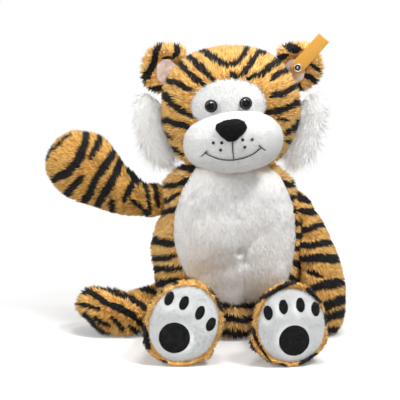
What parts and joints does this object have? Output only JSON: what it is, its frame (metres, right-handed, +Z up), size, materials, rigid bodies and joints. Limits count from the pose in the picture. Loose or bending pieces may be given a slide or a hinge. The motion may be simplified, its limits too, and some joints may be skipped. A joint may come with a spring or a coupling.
{
  "type": "plush tiger",
  "caption": "Sitting plush tiger with a turning head, movable limbs and tail, white tummy, muzzle and soles, and shaggy cheek tufts.",
  "frame": {"origin": "the middle of the torso's seat, on the surface that the toy sits on", "axes": "+Z up, -Y the way the toy faces, +X to the right of a person who faces the toy"},
  "size_m": [0.2976, 0.2106, 0.2961],
  "materials": {
    "striped_plush": "golden pile with black tiger stripes",
    "white_plush": "short soft pile",
    "long_white_plush": "long shaggy pile",
    "white_velour": "short dense pile",
    "black_velour": "short dense pile",
    "nose_velour": "short dense pile",
    "pink_satin": "smooth short pile",
    "stuffing": "loose polyester fill",
    "eye_plastic": "polished",
    "washer_plastic": "moulded",
    "black_thread": "twisted thread",
    "woven_label": "woven tape",
    "rivet_metal": "pressed and plated"
  },
  "bodies": {
    "torso": {"torso_cover": "striped_plush", "tummy_panel": "white_plush", "torso_stuffing": "stuffing"},
    "head": {"head_cover": "striped_plush", "face_panel": "white_plush", "head_stuffing": "stuffing", "muzzle_cover": "white_plush", "muzzle_stuffing": "stuffing", "nose": "nose_velour", "mouth_stitching": "black_thread", "ear_label": "woven_label", "ear_rivet_cap": "rivet_metal", "ear_rivet_socket": "rivet_metal", "eye_left": "eye_plastic", "eye_washer_left": "washer_plastic", "whisker_dot_left_1": "black_thread", "whisker_dot_left_2": "black_thread", "whisker_dot_left_3": "black_thread", "ear_left": "striped_plush", "ear_lining_left": "pink_satin", "cheek_tuft_left": "long_white_plush", "eye_right": "eye_plastic", "eye_washer_right": "washer_plastic", "whisker_dot_right_1": "black_thread", "whisker_dot_right_2": "black_thread", "whisker_dot_right_3": "black_thread", "ear_right": "striped_plush", "ear_lining_right": "pink_satin", "cheek_tuft_right": "long_white_plush"},
    "arm_left": {"arm_left_cover": "striped_plush", "arm_left_stuffing": "stuffing"},
    "leg_left": {"leg_left_cover": "striped_plush", "leg_left_stuffing": "stuffing", "sole_left": "white_velour", "heel_pad_left": "black_velour", "toe_pad_left_1": "black_velour", "toe_pad_left_2": "black_velour", "toe_pad_left_3": "black_velour", "toe_pad_left_4": "black_velour"},
    "arm_right": {"arm_right_cover": "striped_plush", "arm_right_stuffing": "stuffing"},
    "leg_right": {"leg_right_cover": "striped_plush", "leg_right_stuffing": "stuffing", "sole_right": "white_velour", "heel_pad_right": "black_velour", "toe_pad_right_1": "black_velour", "toe_pad_right_2": "black_velour", "toe_pad_right_3": "black_velour", "toe_pad_right_4": "black_velour"},
    "tail": {"tail_cover": "striped_plush", "tail_stuffing": "stuffing"}
  },
  "joints": [
    {"name": "neck_turn", "type": "hinge", "parent": "torso", "child": "head", "pos_m": [0, 0, 0.17], "axis": [0, 0, 1], "range_deg": [-35, 35]},
    {"name": "arm_left_raise", "type": "hinge", "parent": "torso", "child": "arm_left", "pos_m": [-0.077, 0.002, 0.1285], "axis": [0, 1, 0], "range_deg": [-40, 15]},
    {"name": "arm_right_raise", "type": "hinge", "parent": "torso", "child": "arm_right", "pos_m": [0.063, 0.004, 0.116], "axis": [0, -1, 0], "range_deg": [0, 60]},
    {"name": "leg_left_raise", "type": "hinge", "parent": "torso", "child": "leg_left", "pos_m": [-0.046, -0.06, 0.032], "axis": [-1, 0, 0], "range_deg": [-60, 15]},
    {"name": "leg_right_raise", "type": "hinge", "parent": "torso", "child": "leg_right", "pos_m": [0.039, -0.06, 0.032], "axis": [-1, 0, 0], "range_deg": [-60, 15]},
    {"name": "tail_swing", "type": "hinge", "parent": "torso", "child": "tail", "pos_m": [-0.05, 0.033, 0.026], "axis": [0, 0, -1], "range_deg": [0, 110]}
  ]
}
